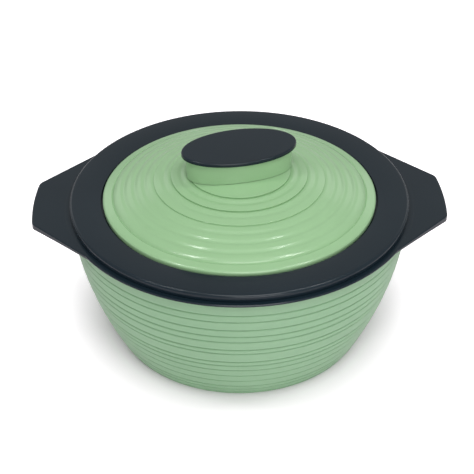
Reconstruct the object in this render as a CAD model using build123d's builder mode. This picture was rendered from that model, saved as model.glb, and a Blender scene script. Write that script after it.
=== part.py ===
from build123d import *
from math import acos, atan2, cos, hypot, sin
import os

# Insulated chapati casserole: a ribbed, foam-filled bowl with a steel liner and a dark collar
# that carries two wing handles, under a foam-filled lift-off lid with an oval knob.
# Millimetres, +Z up, origin at the middle of the foot, +X towards a handle.

# Outer bowl
foot_radius = 97.4
foot_width = 7.0
foot_recess = 3.0
foot_bevel = 0.8
bowl_radius = 127.2
bowl_height = 108.5
bowl_curve = 1.82
bowl_wall = 2.6
rib_depth = 0.6
rib_step = 1.4
rib_heights = (3.4, 8.2, 13.0, 21.0, 28.9, 36.5, 42.6, 47.5, 57.5, 62.2, 70.8, 76.7, 83.4, 91.3, 97.4)

# Steel inner bowl, inside the foam
steel = 0.6
foam_side = 12.0
foam_under = 9.8
inner_floor_radius = 62.0
inner_flange = 5.2
inner_round = 1.2

# Collar and its two wing handles
collar_overhang = 4.7
collar_lip = 1.9
collar_deck = 2.2
collar_bevel = 0.6
spigot_depth = 10.0
spigot_wall = 2.2
bead_height = 0.5
bead_width = 1.6
bead_level = 4.0
rebate_depth = 0.8
wing_length = 24.0
wing_bulge = 1.8
wing_tip_width = 56.0
wing_tip_round = 8.0
wing_flank_inset = 3.2
wing_drop = 0.2
wing_fall = 0.4
wing_tip_height = 4.6
wing_skin = 2.2
wing_edge_round = 0.8
wing_hollow_start = 8.0
wing_wall = 2.2
wing_rib = 1.6
wing_rib_pitch = 17.0
wing_rib_count = 3

# Lid ring
ring_inset = 3.9
ring_width = 24.0
ring_height = 5.0
ring_wall = 2.4
ring_slope = 1.0
ring_round = 1.9
shelf_depth = 3.9
shelf_reach = 6.0
shelf_wall = 2.2
seal_land = 1.2
seal_land_height = 1.2

# Lid dome
dome_rise = 24.4
dome_edge = 3.6
dome_curve = 1.6
dome_wall = 2.2
dome_round = 2.2
terrace_depth = 0.55
terrace_step = 1.8
terrace_tuck = 9.0  # the terraces run this far in under the ends of the knob's cap
terrace_insets = (7.8, 15.0, 24.0, 31.5, 38.7, 46.2, 51.9, 59.1, 64.8)  # from the rim inwards

# Lid liner and seal
liner_depth = 8.0
liner_round = 3.0
liner_flange = 5.4
seal_width = 4.0
seal_round = 0.8

# Knob
knob_turn = 13.5
cap_length = 87.0
cap_width = 49.5
cap_thickness = 2.7
cap_round = 1.0
cap_rim = 3.0
cap_rim_wall = 1.8
stem_end_inset = 3.8
stem_side_inset = 1.9
stem_flare = 0.5
stem_height = 12.7
stem_wall = 2.4
stem_floor = 2.0
boss_pitch = 44.0
boss_radius = 4.2
boss_height = 9.0

# Screws and filling plugs
screw_radius = 1.95
screw_length = 10.5
screw_head_radius = 4.0
screw_head_height = 2.4
screw_head_bevel = 1.0
screw_pad_radius = 5.2
screw_pad_height = 0.8
plug_radius = 6.0
plug_head_radius = 8.6
plug_head_height = 1.4
plug_barb = 0.8
plug_wall = 2.9
plug_shank = 2.5

# Clearances
foam_gap = 0.1
glue_gap = 0.1
thread_gap = 0.05
snap_gap = 0.15
hole_gap = 0.35
seat_gap = 0.3
skirt_gap = 0.4
dome_gap = 1.1
liner_gap = 1.4

# Radii and heights that follow
collar_radius = bowl_radius + collar_overhang
ring_radius = collar_radius - ring_inset
inner_radius = bowl_radius - bowl_wall - foam_side - steel
collar_bore = inner_radius + steel + snap_gap
rebate_radius = inner_radius + inner_flange + seat_gap
liner_radius = inner_radius - liner_gap
seal_radius = rebate_radius + seal_land - hole_gap
ring_bore = ring_radius - ring_width
dome_radius = ring_bore - dome_gap
terrace_radii = [dome_radius - inset for inset in terrace_insets]
knob_reach = cap_length / 2 - terrace_tuck
bowl_floor = foot_recess + bowl_wall
inner_floor = bowl_floor + foam_under + steel
deck_top = bowl_height + collar_lip
deck_under = deck_top - collar_deck
flange_seat = deck_top - rebate_depth
spigot_foot = deck_under - spigot_depth
skirt_foot = deck_top + skirt_gap
ring_top = skirt_foot + ring_height
shelf_under = ring_top - ring_slope - shelf_depth
shelf_top = shelf_under + shelf_wall
dome_foot = shelf_top + glue_gap
crown = dome_foot + dome_edge + dome_rise
knob_seat = crown + glue_gap
stem_top = crown + stem_height


def wall_radius(height):
    # radius of the outer bowl's smooth side
    return bowl_radius - (bowl_radius - foot_radius) * (1 - height / bowl_height) ** bowl_curve


def crown_height(radius):
    # height of the dome's smooth top
    return crown - dome_rise * (radius / dome_radius) ** dome_curve


def ring_height_at(radius):
    # height of the lid ring's top, which falls gently towards the dome
    return ring_top - ring_slope * (ring_radius - radius) / (ring_radius - ring_bore)


def bowl_side(height, inset=0.0):
    return (wall_radius(height) - inset, height)


def dome_top(radius, inset=0.0):
    return (radius, crown_height(radius) - inset)


def stepped_line(surface, start, end, steps, width, depth):
    # bands along a smooth surface line, each drawn in at its end where the next one steps out
    half = width / 2 if end > start else -width / 2
    inside = [step for step in steps if min(start, end) + width < step < max(start, end) - width]
    line = [surface(start)]
    for step in sorted(inside, reverse=end < start):
        line.append(surface(step - half, depth))
        line.append(surface(step + half))
    Polyline(*line, surface(end))


def smooth_line(surface, start, end, inset):
    # the same surface line without steps, set in by a wall or a gap
    ThreePointArc(surface(start, inset), surface((start + end) / 2, inset), surface(end, inset))


def ring_edges(part, radius, height):
    # the circular edges of a turned piece at one radius and height
    return [
        edge
        for edge in part.edges().filter_by(GeomType.CIRCLE)
        if abs(edge.radius - radius) < 1e-3 and abs(edge.arc_center.Z - height) < 1e-3
    ]


os.makedirs("parts", exist_ok=True)

# Outer bowl: green shell on a foot ring, with overlapping ribs and a filling hole in its floor
seat_radius = wall_radius(spigot_foot) - bowl_wall
bead_height_z = deck_under - bead_level

with BuildPart() as outer_bowl:
    with BuildSketch(Plane.XZ):
        with BuildLine():
            Polyline(
                (0, bowl_floor),
                (0, foot_recess),
                (foot_radius - foot_width, foot_recess),
                (foot_radius - foot_width, 0),
                (foot_radius, 0),
            )
            stepped_line(bowl_side, 0, bowl_height, rib_heights, rib_step, rib_depth)
            Polyline(
                (bowl_radius, bowl_height),
                (seat_radius, bowl_height),
                (seat_radius, spigot_foot),
            )
            smooth_line(bowl_side, spigot_foot, bowl_floor, bowl_wall)
            Line((wall_radius(bowl_floor) - bowl_wall, bowl_floor), (0, bowl_floor))
        make_face()
        with BuildLine():
            Polyline(
                (seat_radius - snap_gap, bead_height_z - bead_width / 2 - snap_gap),
                (seat_radius + bead_height, bead_height_z),
                (seat_radius - snap_gap, bead_height_z + bead_width / 2 + snap_gap),
                close=True,
            )
        make_face(mode=Mode.SUBTRACT)
    revolve(axis=Axis.Z)
    chamfer(ring_edges(outer_bowl.part, foot_radius, 0), foot_bevel)
    chamfer(ring_edges(outer_bowl.part, foot_radius - foot_width, 0), foot_bevel)
    with BuildSketch(Plane.XY.offset(foot_recess)):
        Circle(plug_radius + hole_gap)
    extrude(amount=bowl_wall, mode=Mode.SUBTRACT)

# Steel inner bowl: flat floor, elliptical side and a flange that lies in the collar's rebate
flange_top = flange_seat + steel
mouth = flange_top - inner_round

with BuildPart() as inner_bowl:
    with BuildSketch(Plane.XZ):
        with BuildLine():
            Line((0, inner_floor), (inner_floor_radius, inner_floor))
            EllipticalCenterArc(
                (inner_floor_radius, mouth),
                inner_radius - inner_floor_radius,
                mouth - inner_floor,
                start_angle=270,
                arc_size=90,
            )
            CenterArc((inner_radius + inner_round, mouth), inner_round, 180, -90)
            Polyline(
                (inner_radius + inner_round, flange_top),
                (inner_radius + inner_flange, flange_top),
                (inner_radius + inner_flange, flange_seat),
                (inner_radius + steel, flange_seat),
                (inner_radius + steel, mouth),
            )
            EllipticalCenterArc(
                (inner_floor_radius, mouth),
                inner_radius + steel - inner_floor_radius,
                mouth - inner_floor + steel,
                start_angle=270,
                arc_size=90,
            )
            Polyline(
                (inner_floor_radius, inner_floor - steel),
                (0, inner_floor - steel),
                (0, inner_floor),
            )
        make_face()
    revolve(axis=Axis.Z)

# Outline of one wing handle: straight flanks that run into the collar, and a bowed tip
wing_reach = collar_radius + wing_length
tip_x = wing_reach - wing_bulge
tip_y = wing_tip_width / 2
flank_radius = collar_radius - wing_flank_inset
touch = atan2(tip_y, tip_x) + acos(flank_radius / hypot(tip_x, tip_y))
touch_x = flank_radius * cos(touch)
touch_y = flank_radius * sin(touch)
lip_root = bowl_radius + snap_gap

with BuildSketch() as wing_outline:
    with BuildLine():
        ThreePointArc((tip_x, -tip_y), (wing_reach, 0), (tip_x, tip_y))
        Polyline((tip_x, tip_y), (touch_x, touch_y), (touch_x, -touch_y), (tip_x, -tip_y))
    make_face()
    fillet(wing_outline.vertices().group_by(Axis.X)[-1], wing_tip_round)
    Circle(lip_root, mode=Mode.SUBTRACT)

with BuildSketch() as wing_hollow:
    add(wing_outline.sketch)
    offset(amount=-wing_wall)
    Circle(collar_radius + wing_hollow_start, mode=Mode.SUBTRACT)
    with GridLocations(0, wing_rib_pitch, 1, wing_rib_count):
        Rectangle(2 * wing_reach, wing_rib, mode=Mode.SUBTRACT)

# Collar with its two wing handles, which fall and thicken towards their tips
wing_end = hypot(tip_x, tip_y)
wing_top = deck_top - wing_drop
wing_foot = wing_top - wing_fall - wing_tip_height

with BuildPart() as wing_pocket:
    with BuildSketch(Plane.XZ):
        with BuildLine():
            Polyline(
                (lip_root, wing_foot - wing_tip_height),
                (wing_end, wing_foot - wing_tip_height),
                (wing_end, wing_top - wing_fall - wing_skin),
                (lip_root, wing_top - wing_skin),
                close=True,
            )
        make_face()
    revolve(axis=Axis.Z)
    with BuildSketch(Plane.XY.offset(wing_foot - wing_tip_height)):
        with PolarLocations(0, 2):
            add(wing_hollow.sketch)
    extrude(amount=3 * wing_tip_height, mode=Mode.INTERSECT)

with BuildPart() as handle_collar:
    with BuildSketch(Plane.XZ):
        with BuildLine():
            Polyline(
                (lip_root, bowl_height),
                (wing_end, wing_foot),
                (wing_end, wing_top - wing_fall),
                (lip_root, wing_top),
                close=True,
            )
        make_face()
    revolve(axis=Axis.Z)
    with BuildSketch(Plane.XY.offset(wing_foot)):
        with PolarLocations(0, 2):
            add(wing_outline.sketch)
    extrude(amount=2 * wing_tip_height, mode=Mode.INTERSECT)
    wing_faces = handle_collar.faces().filter_by(GeomType.CONE).group_by(Axis.Z)[-1]
    wing_rims = [
        edge
        for edge in wing_faces.edges()
        if hypot(edge.center().X, edge.center().Y) > collar_radius
    ]
    fillet(wing_rims, wing_edge_round)
    add(wing_pocket.part, mode=Mode.SUBTRACT)
    with BuildSketch(Plane.XZ) as collar_section:
        with BuildLine():
            Polyline(
                (seat_radius - snap_gap - spigot_wall, deck_under),
                (seat_radius - snap_gap - spigot_wall, spigot_foot + snap_gap),
                (seat_radius - snap_gap, spigot_foot + snap_gap),
                (seat_radius - snap_gap, bead_height_z - bead_width / 2),
                (seat_radius - snap_gap + bead_height, bead_height_z),
                (seat_radius - snap_gap, bead_height_z + bead_width / 2),
                (seat_radius - snap_gap, bowl_height),
                (collar_radius, bowl_height),
                (collar_radius, deck_top),
                (rebate_radius, deck_top),
                (rebate_radius, flange_seat),
                (collar_bore, flange_seat),
                (collar_bore, deck_under),
                close=True,
            )
        make_face()
        chamfer(collar_section.vertices().group_by(Axis.X)[-1], collar_bevel)
    revolve(axis=Axis.Z)

# Foam of the bowl, poured between the two bowls
with BuildPart() as bowl_insulation:
    with BuildSketch(Plane.XZ):
        with BuildLine():
            Polyline(
                (seat_radius - spigot_wall - snap_gap - foam_gap, deck_under - foam_gap),
                (seat_radius - spigot_wall - snap_gap - foam_gap, spigot_foot - foam_gap),
                bowl_side(spigot_foot - foam_gap, bowl_wall + foam_gap),
            )
            smooth_line(
                bowl_side, spigot_foot - foam_gap, bowl_floor + foam_gap, bowl_wall + foam_gap
            )
            Polyline(
                bowl_side(bowl_floor + foam_gap, bowl_wall + foam_gap),
                (0, bowl_floor + foam_gap),
                (0, inner_floor - steel - foam_gap),
                (inner_floor_radius, inner_floor - steel - foam_gap),
            )
            EllipticalCenterArc(
                (inner_floor_radius, mouth),
                inner_radius + steel + foam_gap - inner_floor_radius,
                mouth - inner_floor + steel + foam_gap,
                start_angle=270,
                arc_size=90,
            )
            Polyline(
                (inner_radius + steel + foam_gap, mouth),
                (inner_radius + steel + foam_gap, deck_under - foam_gap),
                (seat_radius - spigot_wall - snap_gap - foam_gap, deck_under - foam_gap),
            )
        make_face()
    revolve(axis=Axis.Z)
    with BuildSketch(Plane.XY.offset(bowl_floor)):
        Circle(plug_radius + plug_barb + foam_gap)
    extrude(amount=plug_shank + hole_gap, mode=Mode.SUBTRACT)

# Filling plug, drawn with its head's face on the plane of the hole and its barbed shank upwards
with BuildPart() as filling_plug:
    with BuildSketch(Plane.XZ):
        with BuildLine():
            Polyline(
                (0, -plug_head_height),
                (plug_head_radius, -plug_head_height),
                (plug_head_radius, 0),
                (plug_radius, 0),
                (plug_radius, plug_wall),
                (plug_radius + plug_barb, plug_wall),
                (plug_radius, plug_wall + plug_shank),
                (0, plug_wall + plug_shank),
                close=True,
            )
        make_face()
    revolve(axis=Axis.Z)

# Plug of the bowl's filling hole, its head in the hollow of the foot
with BuildPart(Plane.XY.offset(foot_recess - glue_gap)) as base_filling_plug:
    add(filling_plug.part)

# Lid ring: dark rim of the lid, with the dome's shelf inside and the seal's groove under it
seal_outer = seal_radius + seal_width
land_foot = skirt_foot + seal_land_height - skirt_gap

with BuildPart() as lid_ring:
    with BuildSketch(Plane.XZ) as ring_section:
        with BuildLine():
            Polyline(
                (ring_radius, skirt_foot),
                (ring_radius, ring_top),
                (ring_bore, ring_height_at(ring_bore)),
                (ring_bore, shelf_top),
                (ring_bore - shelf_reach, shelf_top),
                (ring_bore - shelf_reach, shelf_under),
                (ring_bore + ring_wall, shelf_under),
                (ring_bore + ring_wall, ring_height_at(ring_bore + ring_wall) - ring_wall),
                (seal_radius - seal_land, ring_height_at(seal_radius - seal_land) - ring_wall),
                (seal_radius - seal_land, land_foot),
                (seal_radius, land_foot),
                (seal_radius, ring_height_at(seal_radius) - ring_wall),
                (seal_outer, ring_height_at(seal_outer) - ring_wall),
                (seal_outer, land_foot),
                (seal_outer + seal_land, land_foot),
                (seal_outer + seal_land, ring_height_at(seal_outer + seal_land) - ring_wall),
                (ring_radius - ring_wall, ring_height_at(ring_radius - ring_wall) - ring_wall),
                (ring_radius - ring_wall, skirt_foot),
                close=True,
            )
        make_face()
        fillet(ring_section.vertices().group_by(Axis.X)[-1].group_by(Axis.Y)[-1], ring_round)
    revolve(axis=Axis.Z)

# Silicone seal in the ring's groove
seal_top = ring_height_at(seal_radius) - ring_wall - seat_gap

with BuildPart() as lid_seal:
    with BuildSketch(Plane.XZ) as seal_section:
        with BuildLine():
            Polyline(
                (seal_radius + seat_gap, seal_top),
                (seal_radius + seat_gap, deck_top + seat_gap),
                (seal_outer - seat_gap, deck_top + seat_gap),
                (seal_outer - seat_gap, seal_top),
                close=True,
            )
        make_face()
        chamfer(seal_section.vertices().group_by(Axis.Y)[0], seal_round)
    revolve(axis=Axis.Z)

# Dome: green cover of the lid in low terraces, screwed to the knob
pad_foot = crown_height(boss_pitch / 2 + screw_pad_radius) - dome_wall - screw_pad_height
knob_plane = Plane.XY.rotated((0, 0, knob_turn))

with BuildPart() as lid_dome:
    with BuildSketch(Plane.XZ):
        with BuildLine():
            smooth_line(dome_top, 0, knob_reach, 0)
            stepped_line(
                dome_top, dome_radius, knob_reach, terrace_radii, terrace_step, terrace_depth
            )
            Polyline(
                dome_top(dome_radius),
                (dome_radius, dome_foot),
                (dome_radius - dome_wall, dome_foot),
                dome_top(dome_radius - dome_wall, dome_wall),
            )
            smooth_line(dome_top, dome_radius - dome_wall, knob_reach, dome_wall)
            smooth_line(dome_top, knob_reach, 0, dome_wall)
            Line(dome_top(0, dome_wall), dome_top(0))
        make_face()
    revolve(axis=Axis.Z)
    fillet(ring_edges(lid_dome.part, dome_radius, crown_height(dome_radius)), dome_round)
    with BuildSketch(knob_plane.offset(pad_foot)):
        with GridLocations(boss_pitch, 0, 2, 1):
            Circle(screw_pad_radius)
    extrude(amount=crown_height(boss_pitch / 2) - dome_wall / 2 - pad_foot)
    with BuildSketch(knob_plane.offset(pad_foot)):
        Circle(plug_radius + hole_gap)
        with GridLocations(boss_pitch, 0, 2, 1):
            Circle(screw_radius + hole_gap)
    extrude(amount=crown + dome_wall - pad_foot, mode=Mode.SUBTRACT)

# Steel liner of the lid: a shallow pan that plugs the inner bowl's mouth
liner_floor = deck_top - liner_depth
liner_seat = ring_height_at(liner_radius) - ring_wall - glue_gap

with BuildPart() as lid_liner:
    with BuildSketch(Plane.XZ):
        with BuildLine():
            Line((0, liner_floor), (liner_radius - liner_round, liner_floor))
            CenterArc(
                (liner_radius - liner_round, liner_floor + liner_round), liner_round, 270, 90
            )
            Polyline(
                (liner_radius, liner_floor + liner_round),
                (liner_radius, liner_seat - steel),
                (liner_radius + liner_flange, liner_seat - steel),
                (liner_radius + liner_flange, liner_seat),
                (liner_radius - steel, liner_seat),
                (liner_radius - steel, liner_floor + liner_round),
            )
            CenterArc(
                (liner_radius - liner_round, liner_floor + liner_round),
                liner_round - steel,
                0,
                -90,
            )
            Polyline(
                (liner_radius - liner_round, liner_floor + steel),
                (0, liner_floor + steel),
                (0, liner_floor),
            )
        make_face()
    revolve(axis=Axis.Z)

# Foam of the lid, between the dome and the liner
foam_top = dome_wall + foam_gap
foam_shelf = ring_bore - shelf_reach - foam_gap
foam_skirt = dome_radius - dome_wall - foam_gap
foam_side_top = ring_height_at(ring_bore + ring_wall + foam_gap) - ring_wall - foam_gap
foam_floor = liner_floor + steel + foam_gap

with BuildPart() as lid_insulation:
    with BuildSketch(Plane.XZ):
        with BuildLine():
            smooth_line(dome_top, 0, knob_reach, foam_top)
            smooth_line(dome_top, knob_reach, foam_skirt, foam_top)
            Polyline(
                dome_top(foam_skirt, foam_top),
                (foam_skirt, shelf_top + foam_gap),
                (foam_shelf, shelf_top + foam_gap),
                (foam_shelf, shelf_under - foam_gap),
                (ring_bore + ring_wall + foam_gap, shelf_under - foam_gap),
                (ring_bore + ring_wall + foam_gap, foam_side_top),
                (liner_radius - steel - foam_gap, foam_side_top),
                (liner_radius - steel - foam_gap, foam_floor + liner_round),
                (liner_radius - steel - liner_round, foam_floor),
                (0, foam_floor),
                dome_top(0, foam_top),
            )
        make_face()
    revolve(axis=Axis.Z)
    with BuildSketch(Plane.XY.offset(crown)):
        Circle(plug_radius + plug_barb + foam_gap)
    extrude(amount=-(plug_wall + plug_shank + hole_gap), mode=Mode.SUBTRACT)
    with BuildSketch(knob_plane.offset(pad_foot - screw_head_height - foam_gap)):
        with GridLocations(boss_pitch, 0, 2, 1):
            Circle(screw_pad_radius + foam_gap)
    extrude(amount=dome_rise, mode=Mode.SUBTRACT)

# Plug of the lid's filling hole, under the knob
with BuildPart(Plane(origin=(0, 0, knob_seat), z_dir=(0, 0, -1))) as lid_filling_plug:
    add(filling_plug.part)

# Knob stem: green oval box standing on the dome, open at the top, with two screw bosses
stem_length = cap_length / 2 - stem_end_inset
stem_width = cap_width / 2 - stem_side_inset
stem_root = crown_height(stem_length) - dome_wall

with BuildPart() as knob_stem:
    with BuildSketch(knob_plane.offset(stem_root)):
        Ellipse(stem_length, stem_width)
    with BuildSketch(knob_plane.offset((stem_root + stem_top) / 2)):
        Ellipse(stem_length + stem_flare, stem_width + stem_flare)
    with BuildSketch(knob_plane.offset(stem_top)):
        Ellipse(stem_length + stem_flare, stem_width + stem_flare)
    loft()
    with BuildSketch(knob_plane.offset(crown + stem_floor)):
        Ellipse(stem_length - stem_wall, stem_width - stem_wall)
    extrude(amount=stem_height, mode=Mode.SUBTRACT)
    with BuildSketch(knob_plane.offset(crown)):
        with GridLocations(boss_pitch, 0, 2, 1):
            Circle(boss_radius)
    extrude(amount=boss_height)
    with BuildSketch(knob_plane.offset(stem_root - stem_height)):
        Circle(plug_head_radius + hole_gap)
        with GridLocations(boss_pitch, 0, 2, 1):
            Circle(screw_radius + thread_gap)
    extrude(amount=3 * stem_height, mode=Mode.SUBTRACT)
    with BuildSketch(Plane.XZ):
        with BuildLine():
            smooth_line(dome_top, 0, knob_reach, -glue_gap)
            Polyline(
                dome_top(knob_reach, -glue_gap),
                dome_top(cap_length / 2, -glue_gap),
                (cap_length / 2, stem_root - dome_wall),
                (0, stem_root - dome_wall),
                dome_top(0, -glue_gap),
            )
        make_face()
    revolve(axis=Axis.Z, mode=Mode.SUBTRACT)

# Knob cap: dark oval plate with a rim that fits inside the stem
with BuildPart() as knob_cap:
    with BuildSketch(knob_plane.offset(stem_top)):
        Ellipse(cap_length / 2, cap_width / 2)
    extrude(amount=cap_thickness)
    fillet(knob_cap.faces().sort_by(Axis.Z)[-1].edges(), cap_round)
    with BuildSketch(knob_plane.offset(stem_top)):
        Ellipse(stem_length - stem_wall - snap_gap, stem_width - stem_wall - snap_gap)
        Ellipse(
            stem_length - stem_wall - snap_gap - cap_rim_wall,
            stem_width - stem_wall - snap_gap - cap_rim_wall,
            mode=Mode.SUBTRACT,
        )
    extrude(amount=-cap_rim)

# Two washer-head screws, driven from inside the lid up into the knob's bosses
with BuildPart() as knob_screws:
    with BuildSketch(knob_plane.offset(pad_foot - screw_head_height)):
        with GridLocations(boss_pitch, 0, 2, 1):
            Circle(screw_head_radius)
    extrude(amount=screw_head_height)
    chamfer(knob_screws.faces().group_by(Axis.Z)[0].edges(), screw_head_bevel)
    with BuildSketch(knob_plane.offset(pad_foot)):
        with GridLocations(boss_pitch, 0, 2, 1):
            Circle(screw_radius)
    extrude(amount=screw_length)

outer_bowl.part.label = "outer_bowl"
inner_bowl.part.label = "inner_bowl"
handle_collar.part.label = "handle_collar"
bowl_insulation.part.label = "bowl_insulation"
base_filling_plug.part.label = "base_filling_plug"
lid_ring.part.label = "lid_ring"
lid_dome.part.label = "lid_dome"
lid_liner.part.label = "lid_liner"
lid_insulation.part.label = "lid_insulation"
lid_seal.part.label = "lid_seal"
lid_filling_plug.part.label = "lid_filling_plug"
knob_stem.part.label = "knob_stem"
knob_cap.part.label = "knob_cap"
knob_screws.part.label = "knob_screws"

export_step(outer_bowl.part, "parts/outer_bowl.step")
export_step(inner_bowl.part, "parts/inner_bowl.step")
export_step(handle_collar.part, "parts/handle_collar.step")
export_step(bowl_insulation.part, "parts/bowl_insulation.step")
export_step(base_filling_plug.part, "parts/base_filling_plug.step")
export_step(lid_ring.part, "parts/lid_ring.step")
export_step(lid_dome.part, "parts/lid_dome.step")
export_step(lid_liner.part, "parts/lid_liner.step")
export_step(lid_insulation.part, "parts/lid_insulation.step")
export_step(lid_seal.part, "parts/lid_seal.step")
export_step(lid_filling_plug.part, "parts/lid_filling_plug.step")
export_step(knob_stem.part, "parts/knob_stem.step")
export_step(knob_cap.part, "parts/knob_cap.step")
export_step(knob_screws.part, "parts/knob_screws.step")
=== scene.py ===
from math import cos, pi, radians, sin

import bpy
from mathutils import Matrix, Vector


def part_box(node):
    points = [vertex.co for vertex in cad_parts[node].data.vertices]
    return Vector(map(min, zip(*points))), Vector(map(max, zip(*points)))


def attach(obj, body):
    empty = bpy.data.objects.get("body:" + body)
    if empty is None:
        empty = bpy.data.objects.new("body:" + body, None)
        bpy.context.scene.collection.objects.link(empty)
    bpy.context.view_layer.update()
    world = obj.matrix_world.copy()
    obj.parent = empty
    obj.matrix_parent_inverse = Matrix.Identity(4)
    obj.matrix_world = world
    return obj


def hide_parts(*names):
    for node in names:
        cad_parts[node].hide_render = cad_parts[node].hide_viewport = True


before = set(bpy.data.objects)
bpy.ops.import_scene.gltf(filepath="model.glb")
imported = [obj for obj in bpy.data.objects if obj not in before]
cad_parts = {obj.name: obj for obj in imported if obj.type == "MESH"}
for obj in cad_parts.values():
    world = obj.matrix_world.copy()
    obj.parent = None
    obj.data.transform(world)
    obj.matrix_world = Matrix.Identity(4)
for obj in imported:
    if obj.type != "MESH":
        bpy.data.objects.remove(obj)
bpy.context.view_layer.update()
print("frame loaded")

mm = 0.001
weldGap = 0.000001
grooveMargin = 1.15  # even spacing stops this far from a groove's middle, in halves of its width
grooveSteps = 4  # points from a groove's middle to its edge


def cleanSelection():
    bpy.ops.object.select_all(action="DESELECT")


def turnedPiece(name, profile, look):
    # one vertex is drawn out along a profile in millimetres, spun round the upright axis and closed
    cleanSelection()
    start = Vector((profile[0][0], 0, profile[0][1])) * mm
    bpy.ops.mesh.primitive_plane_add(size=mm, location=start)
    piece = bpy.context.object
    piece.name = name
    bpy.ops.object.mode_set(mode="EDIT")
    bpy.ops.mesh.select_all(action="SELECT")
    bpy.ops.mesh.merge(type="CENTER")
    here = start
    for radius, height in profile[1:]:
        there = Vector((radius, 0, height)) * mm
        bpy.ops.mesh.extrude_region_move(TRANSFORM_OT_translate={"value": there - here})
        here = there
    bpy.ops.mesh.select_all(action="SELECT")
    bpy.ops.mesh.spin(steps=look["turns"], angle=2 * pi, center=(0, 0, 0), axis=(0, 0, 1))
    bpy.ops.mesh.select_all(action="SELECT")
    bpy.ops.mesh.remove_doubles(threshold=weldGap)
    bpy.ops.mesh.normals_make_consistent(inside=False)
    bpy.ops.object.mode_set(mode="OBJECT")
    bpy.ops.object.transform_apply(location=True, rotation=True, scale=True)
    bpy.ops.object.shade_smooth_by_angle(angle=radians(look["smoothAngle"]))
    return piece


def spread(start, end, step):
    # evenly spaced values from start to end, both included
    count = max(1, round(abs(end - start) / step))
    return [start + (end - start) * index / count for index in range(count + 1)]


def reliefPlaces(start, end, features, coarse):
    # places along a surface line: wide apart on the bands and close together at each groove or step
    places = spread(start, end, coarse)
    for middle, half, _ in features:
        places = [place for place in places if abs(place - middle) > grooveMargin * half]
        places += [middle + half * step / grooveSteps for step in range(-grooveSteps, grooveSteps + 1)]
    return sorted(place for place in places if start <= place <= end)


def bandInset(place, begin, steps):
    # a band draws in along its length, and where the next one begins the surface steps out again
    for at, half, depth in steps:
        if place < at - half:
            return depth * max(0, place - begin) / (at - half - begin)
        if place < at + half:
            return depth * (1 - easedStep(place, at - half, at + half))
        begin = at + half
    return 0


def slotDepth(place, slots):
    # sharp V-shaped grooves
    return sum(depth * max(0, 1 - abs(place - middle) / half) for middle, half, depth in slots)


def hollowDepth(place, hollows):
    # soft round hollows
    near = [hollow for hollow in hollows if abs(place - hollow[0]) < hollow[1]]
    return sum(depth * (1 + cos(pi * (place - middle) / half)) / 2 for middle, half, depth in near)


def easedStep(place, start, end):
    # rises smoothly from 0 at the start to 1 at the end
    share = min(1, max(0, (place - start) / (end - start)))
    return share * share * (3 - 2 * share)


def linearColour(red, green, blue):
    # screen values from 0 to 255 turned into the linear ones that a shader takes
    channels = []
    for value in (red, green, blue):
        share = value / 255
        channels.append(share / 12.92 if share <= 0.04045 else ((share + 0.055) / 1.055) ** 2.4)
    return (*channels, 1)


# camera
cameraLook = {
    "target": Vector((0, 0, 0.060)),
    "distance": 0.9403,
    "pitch": 35.71,  # degrees below the horizon
    "azimuth": -1.5,
    "roll": -0.277,
    "lens": 91.14,
    "sensor": 36,
    "shiftX": -0.0055,
    "shiftY": 0.0321,
}


def addCamera(look):
    turn = (
        Matrix.Rotation(radians(look["azimuth"]), 4, "Z")
        @ Matrix.Rotation(radians(90 - look["pitch"]), 4, "X")
        @ Matrix.Rotation(radians(look["roll"]), 4, "Z")
    )
    back = turn @ Vector((0, 0, 1))
    bpy.ops.object.camera_add(location=look["target"] + back * look["distance"], rotation=turn.to_euler())
    camera = bpy.context.object
    camera.name = "studioCamera"
    camera.data.lens = look["lens"]
    camera.data.sensor_width = look["sensor"]
    camera.data.shift_x = look["shiftX"]
    camera.data.shift_y = look["shiftY"]
    bpy.context.scene.camera = camera


addCamera(cameraLook)
bpy.context.scene.view_settings.view_transform = "Standard"
print("camera placed")


# materials
def newMaterial(name):
    made = bpy.data.materials.new(name)
    made.use_nodes = True
    return made, made.node_tree.nodes, made.node_tree.links, made.node_tree.nodes["Principled BSDF"]


def addNoise(nodes, links, scale, detail):
    place = nodes.new("ShaderNodeTexCoord")
    noise = nodes.new("ShaderNodeTexNoise")
    noise.inputs["Scale"].default_value = scale
    noise.inputs["Detail"].default_value = detail
    links.new(place.outputs["Object"], noise.inputs["Vector"])
    return noise


def mouldedPlastic(name, look):
    # moulded plastic: two close tones, a fine skin on the surface and an even satin gloss
    made, nodes, links, shader = newMaterial(name)
    tone = addNoise(nodes, links, look["toneScale"], look["toneDetail"])
    ramp = nodes.new("ShaderNodeValToRGB")
    ramp.color_ramp.elements[0].position = look["toneFrom"]
    ramp.color_ramp.elements[0].color = linearColour(*look["dark"])
    ramp.color_ramp.elements[1].position = look["toneTo"]
    ramp.color_ramp.elements[1].color = linearColour(*look["light"])
    links.new(tone.outputs["Fac"], ramp.inputs["Fac"])
    links.new(ramp.outputs["Color"], shader.inputs["Base Color"])
    skin = addNoise(nodes, links, look["skinScale"], look["skinDetail"])
    bump = nodes.new("ShaderNodeBump")
    bump.inputs["Strength"].default_value = look["skinStrength"]
    bump.inputs["Distance"].default_value = look["skinDepth"]
    links.new(skin.outputs["Fac"], bump.inputs["Height"])
    links.new(bump.outputs["Normal"], shader.inputs["Normal"])
    shader.inputs["Roughness"].default_value = look["roughness"]
    shader.inputs["Specular IOR Level"].default_value = look["specular"]
    return made


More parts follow.
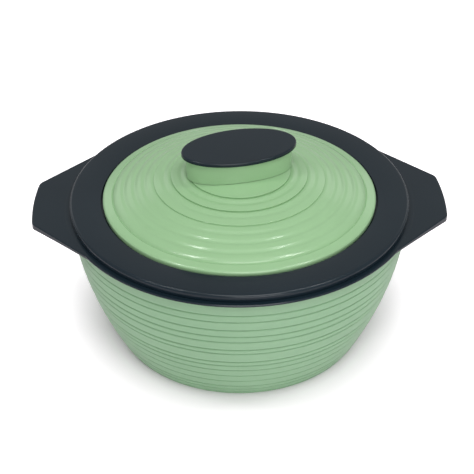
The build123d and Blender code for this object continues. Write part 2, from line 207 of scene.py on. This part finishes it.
greenBodyLook = {
    "dark": (142, 180, 143),
    "light": (147, 185, 148),
    "toneScale": 9,
    "toneDetail": 3,
    "toneFrom": 0.35,
    "toneTo": 0.65,
    "skinScale": 900,
    "skinDetail": 2,
    "skinStrength": 0.05,
    "skinDepth": 0.0004,
    "roughness": 0.42,
    "specular": 0.35,
}
greenLidLook = dict(greenBodyLook, dark=(149, 188, 142), light=(153, 192, 146), roughness=0.17, specular=0.45)
darkTrimLook = dict(
    greenBodyLook, dark=(19, 32, 40), light=(23, 36, 44), roughness=0.2, skinStrength=0.04, specular=0.32
)
plugLook = dict(greenBodyLook, dark=(225, 226, 220), light=(232, 232, 228), roughness=0.5)
sealLook = dict(greenBodyLook, dark=(196, 200, 200), light=(206, 208, 208), roughness=0.55)
foamLook = dict(
    greenBodyLook,
    dark=(222, 203, 150),
    light=(236, 222, 176),
    skinScale=260,
    skinStrength=0.6,
    skinDepth=0.001,
    roughness=0.95,
    specular=0.2,
)


def brushedSteel(name, look):
    made, nodes, links, shader = newMaterial(name)
    shader.inputs["Metallic"].default_value = 1
    shader.inputs["Base Color"].default_value = linearColour(*look["colour"])
    grain = addNoise(nodes, links, look["grainScale"], look["grainDetail"])
    sheen = nodes.new("ShaderNodeMapRange")
    sheen.inputs["To Min"].default_value = look["roughLow"]
    sheen.inputs["To Max"].default_value = look["roughHigh"]
    links.new(grain.outputs["Fac"], sheen.inputs["Value"])
    links.new(sheen.outputs["Result"], shader.inputs["Roughness"])
    return made


steelLook = {
    "colour": (196, 197, 198),
    "grainScale": 60,
    "grainDetail": 4,
    "roughLow": 0.2,
    "roughHigh": 0.3,
}
materials = {
    "green_body": mouldedPlastic("greenBody", greenBodyLook),
    "green_lid": mouldedPlastic("greenLid", greenLidLook),
    "dark_trim": mouldedPlastic("darkTrim", darkTrimLook),
    "liner_steel": brushedSteel("linerSteel", steelLook),
    "foam": mouldedPlastic("insulatingFoam", foamLook),
    "seal_silicone": mouldedPlastic("sealSilicone", sealLook),
    "plug_plastic": mouldedPlastic("plugPlastic", plugLook),
    "screw_steel": brushedSteel("screwSteel", dict(steelLook, colour=(170, 172, 174))),
}
nodeSlots = {
    "outer_bowl": "green_body",
    "inner_bowl": "liner_steel",
    "handle_collar": "dark_trim",
    "bowl_insulation": "foam",
    "base_filling_plug": "plug_plastic",
    "lid_seal": "seal_silicone",
    "lid_ring": "dark_trim",
    "lid_dome": "green_lid",
    "lid_liner": "liner_steel",
    "lid_insulation": "foam",
    "lid_filling_plug": "plug_plastic",
    "knob_stem": "green_lid",
    "knob_cap": "dark_trim",
    "knob_screws": "screw_steel",
}
for nodeName, slotName in nodeSlots.items():
    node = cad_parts[nodeName]
    node.data.materials.clear()
    node.data.materials.append(materials[slotName])
print("materials on the nodes")


# outer bowl
bowlLook = {
    "footRadius": 97.4,
    "footWidth": 7,
    "footRecess": 3,
    "footRound": 0.8,
    "footArcStep": pi / 10,
    "wallCurve": 1.82,
    "wall": 2.6,
    "plugHole": 6.4,
    "ribHeights": (21.0, 28.9, 36.5, 42.6, 47.5, 57.5, 62.2, 70.8, 76.7, 83.4, 91.3, 97.4),
    "ribHalf": 0.5,  # half the height in which one band steps out to the next
    "ribDepth": 0.65,
    "lowRibHeights": (3.4, 8.2, 13.0),
    "lowRibDepth": 0.6,
    "undercutHalf": 0.9,  # half the width of the groove under each step
    "undercutDepth": 0.9,
    "step": 1.2,
    "insideStep": 6,
    "turns": 180,
    "smoothAngle": 50,
}


def buildOuterBowl(look):
    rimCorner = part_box("outer_bowl")[1]
    rimRadius, rimHeight = rimCorner.x / mm, rimCorner.z / mm
    footRadius, footRound = look["footRadius"], look["footRound"]
    footInner = footRadius - look["footWidth"]
    floorUnder = look["footRecess"]
    floorTop = floorUnder + look["wall"]
    ribs = [(height, look["ribHalf"], look["lowRibDepth"]) for height in look["lowRibHeights"]]
    ribs += [(height, look["ribHalf"], look["ribDepth"]) for height in look["ribHeights"]]
    undercutHalf, undercutDepth = look["undercutHalf"], look["undercutDepth"]
    undercuts = [(rib[0] - undercutHalf, undercutHalf, undercutDepth) for rib in ribs]

    def sideRadius(height):
        return rimRadius - (rimRadius - footRadius) * (1 - height / rimHeight) ** look["wallCurve"]

    profile = [(look["plugHole"], floorTop), (look["plugHole"], floorUnder), (footInner, floorUnder)]
    profile += [(footInner, footRound), (footInner + footRound, 0)]
    for angle in spread(0, pi / 2, look["footArcStep"]):
        profile.append((footRadius - footRound * (1 - sin(angle)), footRound * (1 - cos(angle))))
    for height in reliefPlaces(footRound + look["step"], rimHeight, undercuts + ribs, look["step"]):
        inset = bandInset(height, 0, ribs) + slotDepth(height, undercuts)
        profile.append((sideRadius(height) - inset, height))
    for height in spread(rimHeight, floorTop, look["insideStep"]):
        profile.append((sideRadius(height) - look["wall"], height))
    profile.append(profile[0])
    shell = turnedPiece("ribbedBowl", profile, look)
    shell.data.materials.append(materials["green_body"])
    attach(shell, "base")
    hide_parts("outer_bowl")
    print("outer bowl turned,", len(shell.data.polygons), "faces")


buildOuterBowl(bowlLook)

# lid dome
domeLook = {
    "rise": 24.4,
    "edge": 3.6,
    "curve": 1.6,
    "wall": 2.2,
    "rimBevel": ((1.5, 0), (1.35, 0.06), (0.35, 0.7), (0.1, 1.0), (0, 1.5)),  # in from the rim, down
    "plugHole": 6.4,
    # each lap: radius of the lip, reach of the groove outwards, its depth and its tuck under the lip
    "laps": ((38.1, 2.0, 1.3, 0.2), (51.0, 2.0, 1.25, 0.2), (64.2, 1.7, 0.85, 0.1)),
    "lapEase": 0.3,  # a lip is rounded over this width and falls by lapDrop
    "lapDrop": 0.1,
    "brimGroove": ((95.5, 0.8, 0.8),),  # middle, half width, depth, as in the soft rings
    "softRings": ((43.8, 2.7, 0.6), (56.7, 2.7, 0.45), (71.4, 2.7, 0.5), (78.9, 2.8, 0.6), (87.0, 2.8, 0.6)),
    "brimStart": 91.0,  # the last band rolls down here to the brim, which falls more gently to the edge
    "brimEnd": 95.0,
    "brimDepth": 0.8,
    "step": 1.2,
    "undersideStep": 3,
    "turns": 192,
    "smoothAngle": 50,
}


def lapPoints(lap, heightAt, look):
    # a band's rounded lip, the undercut below it and the start of the next band
    lip, reach, depth, tuck = lap
    before, after, top = lip - look["lapEase"], lip + reach, heightAt(lip)
    points = [(before, heightAt(before)), (lip, top - look["lapDrop"]), (lip - tuck, top - depth)]
    return points + [(after, heightAt(after))]


def buildDome(look):
    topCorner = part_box("lid_dome")[1]
    rim, crown = topCorner.x / mm, topCorner.z / mm
    wall, bevel = look["wall"], look["rimBevel"]
    grooves, soft = list(look["brimGroove"]), list(look["softRings"])
    brimStart, brimEnd = look["brimStart"], look["brimEnd"]
    brim = ((brimStart + brimEnd) / 2, (brimEnd - brimStart) / 2, 0)

    def topHeight(radius):
        return crown - look["rise"] * (radius / rim) ** look["curve"]

    def skinHeight(radius):
        rolled = min(1, max(0, radius - brimStart) / (brimEnd - brimStart))
        fall = look["brimDepth"] * rolled * rolled
        fall *= 1 - max(0, radius - brimEnd) / (rim - brimEnd)
        return topHeight(radius) - slotDepth(radius, grooves) - hollowDepth(radius, soft) - fall

    places = reliefPlaces(look["plugHole"], rim - bevel[0][0], grooves + soft + [brim], look["step"])
    for lip, reach, _, _ in look["laps"]:
        places = [place for place in places if not -look["lapEase"] <= place - lip <= reach]
    runs = [(place, [(place, skinHeight(place))]) for place in places]
    runs += [(lap[0], lapPoints(lap, skinHeight, look)) for lap in look["laps"]]
    profile = [point for place, points in sorted(runs) for point in points]
    shoulder = profile[-1][1]
    profile += [(rim - inset, shoulder - drop) for inset, drop in bevel[1:]]
    foot = topHeight(rim) - look["edge"]
    profile += [(rim, foot), (rim - wall, foot)]
    for radius in spread(rim - wall, look["plugHole"], look["undersideStep"]):
        profile.append((radius, topHeight(radius) - wall))
    profile.append(profile[0])
    shell = turnedPiece("ringedDome", profile, look)
    shell.data.materials.append(materials["green_lid"])
    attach(shell, "lid")
    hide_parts("lid_dome")
    print("dome turned,", len(shell.data.polygons), "faces")


buildDome(domeLook)

# lid ring
ringLook = {
    "bore": 104.4,
    "rise": 5.0,
    "slope": 1.0,
    "wall": 2.4,
    "cornerRound": 2.2,
    "cornerArcStep": pi / 20,
    "boreRound": 0.5,
    "boreArcStep": pi / 10,
    "gutterInner": 102.4,  # the gutter between ring and dome runs from here to the bore
    "gutterDepth": 3.3,
    "shelfInner": 98.0,
    "shelfOuter": 106.4,
    "shelfDepth": 3.9,
    "shelfWall": 2.2,
    "landWidth": 1.2,
    "landLift": 0.8,
    "grooveInner": 118.35,
    "grooveOuter": 122.35,
    "turns": 192,
    "smoothAngle": 50,
}


def buildLidRing(look):
    low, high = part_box("lid_ring")
    rim, foot = high.x / mm, low.z / mm
    bore, wall, corner, ease = look["bore"], look["wall"], look["cornerRound"], look["boreRound"]
    boreTop = foot + look["rise"] - look["slope"]
    gutterFloor = boreTop - look["gutterDepth"]
    shelfFoot = boreTop - look["shelfDepth"]
    shelfTop = shelfFoot + look["shelfWall"]
    landFoot = foot + look["landLift"]
    gutterInner, shelfInner, shelfOuter = look["gutterInner"], look["shelfInner"], look["shelfOuter"]

    def topHeight(radius):
        return boreTop + look["slope"] * (radius - bore) / (rim - bore)

    def ceiling(radius):
        return (radius, topHeight(radius) - wall)

    shoulder = topHeight(rim - corner)
    profile = [(rim, foot)]
    for angle in spread(0, pi / 2, look["cornerArcStep"]):
        profile.append((rim - corner * (1 - cos(angle)), shoulder - corner * (1 - sin(angle))))
    for angle in spread(0, pi / 2, look["boreArcStep"]):
        profile.append((bore + ease * (1 - sin(angle)), topHeight(bore + ease) - ease * (1 - cos(angle))))
    profile += [(bore, gutterFloor), (gutterInner, gutterFloor), (gutterInner, shelfTop)]
    profile += [(shelfInner, shelfTop), (shelfInner, shelfFoot), (shelfOuter, shelfFoot)]
    here = shelfOuter
    for inner in (look["grooveInner"] - look["landWidth"], look["grooveOuter"]):
        outer = inner + look["landWidth"]
        profile += [ceiling(here), ceiling(inner), (inner, landFoot), (outer, landFoot)]
        here = outer
    profile += [ceiling(here), ceiling(rim - wall), (rim - wall, foot), (rim, foot)]
    shell = turnedPiece("roundedLidRing", profile, look)
    shell.data.materials.append(materials["dark_trim"])
    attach(shell, "lid")
    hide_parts("lid_ring")
    print("lid ring turned,", len(shell.data.polygons), "faces")


buildLidRing(ringLook)

# studio
studioLook = {
    "floorSize": 8,
    "floorColour": (250, 243, 249),
    "floorRoughness": 0.9,
    "floorGlow": 0.72,  # white over the floor's own colour, rising from the inner edge to the outer one; held back near the foot, it leaves painted shade in a ring round the object
    "paintedShadeInner": 0.098,
    "paintedShadeOuter": 0.161,
    "glossShare": 0.2,  # how much of that white shows in gloss and clear stuff
    "skyGlow": 0.34,
}
lampLooks = {
    "keyLamp": {"place": (0.15, -1.2, 2.05), "power": 17, "width": 1.3, "depth": 0.9},
    "topLamp": {"place": (0, -0.4, 2.5), "power": 5, "width": 1.6, "depth": 1.2},
    "backLeftLamp": {"place": (-1.3, 2.0, 1.25), "power": 1.8, "width": 0.9, "depth": 0.9},
    "backRightLamp": {"place": (1.3, 2.0, 1.25), "power": 1.7, "width": 0.9, "depth": 0.9},
    "leftLamp": {"place": (-1.05, -0.25, 2.2), "power": 9, "width": 0.07, "depth": 0.8},
    "rightLamp": {"place": (1.07, -0.3, 2.2), "power": 9, "width": 0.07, "depth": 0.8},
    "frontLamp": {"place": (0.4, -2.25, 0.7), "power": 13, "width": 1.2, "depth": 0.8},
}


def plainView(nodes, links, glossShare):
    # 1 where the eye sees the surface, a share of it in gloss or clear stuff, 0 where it lights the room
    seen = nodes.new("ShaderNodeLightPath")
    total = seen.outputs["Is Camera Ray"]
    for kind in ("Is Glossy Ray", "Is Transmission Ray"):
        part = nodes.new("ShaderNodeMath")
        part.operation = "MULTIPLY_ADD"
        part.inputs[1].default_value = glossShare
        links.new(seen.outputs[kind], part.inputs[0])
        links.new(total, part.inputs[2])
        total = part.outputs["Value"]
    return total


def addFloor(look):
    cleanSelection()
    bpy.ops.mesh.primitive_plane_add(size=look["floorSize"])
    floor = bpy.context.object
    floor.name = "studioFloor"
    made, nodes, links, shader = newMaterial("studioFloorPaint")
    shader.inputs["Base Color"].default_value = linearColour(*look["floorColour"])
    shader.inputs["Roughness"].default_value = look["floorRoughness"]
    shader.inputs["Specular IOR Level"].default_value = 0
    place = nodes.new("ShaderNodeTexCoord")
    away = nodes.new("ShaderNodeVectorMath")
    away.operation = "LENGTH"
    # the glow grows with distance from the middle, so the floor close round the foot stays darker: painted
    # shade around the object
    paintedShadeFade = nodes.new("ShaderNodeMapRange")
    paintedShadeFade.inputs["From Min"].default_value = look["paintedShadeInner"]
    paintedShadeFade.inputs["From Max"].default_value = look["paintedShadeOuter"]
    paintedShadeFade.inputs["To Max"].default_value = look["floorGlow"]
    share = nodes.new("ShaderNodeMath")
    share.operation = "MULTIPLY"
    glow = nodes.new("ShaderNodeEmission")
    both = nodes.new("ShaderNodeAddShader")
    links.new(place.outputs["Object"], away.inputs[0])
    links.new(away.outputs["Value"], paintedShadeFade.inputs["Value"])
    links.new(paintedShadeFade.outputs["Result"], share.inputs[0])
    links.new(plainView(nodes, links, look["glossShare"]), share.inputs[1])
    links.new(share.outputs["Value"], glow.inputs["Strength"])
    links.new(shader.outputs["BSDF"], both.inputs[0])
    links.new(glow.outputs["Emission"], both.inputs[1])
    links.new(both.outputs["Shader"], nodes["Material Output"].inputs["Surface"])
    floor.data.materials.append(made)


def addSky(look):
    # the room is dim and even, and shows plain white where the floor ends
    world = bpy.data.worlds.new("studioWorld")
    bpy.context.scene.world = world
    world.use_nodes = True
    nodes, links = world.node_tree.nodes, world.node_tree.links
    sky = nodes["Background"]
    sky.inputs["Color"].default_value = (1, 1, 1, 1)
    strength = nodes.new("ShaderNodeMapRange")
    strength.inputs["To Min"].default_value = look["skyGlow"]
    strength.inputs["To Max"].default_value = 1
    links.new(plainView(nodes, links, look["glossShare"]), strength.inputs["Value"])
    links.new(strength.outputs["Result"], sky.inputs["Strength"])


def addLamp(name, look, target):
    place = Vector(look["place"])
    aim = (place - target).to_track_quat("Z", "Y").to_euler()
    bpy.ops.object.light_add(type="AREA", location=place, rotation=aim)
    lamp = bpy.context.object
    lamp.name = name
    lamp.data.energy = look["power"]
    lamp.data.shape = "RECTANGLE"
    lamp.data.size = look["width"]
    lamp.data.size_y = look["depth"]


addFloor(studioLook)
addSky(studioLook)
for lampName, lampLook in lampLooks.items():
    addLamp(lampName, lampLook, cameraLook["target"])
print("studio lit")
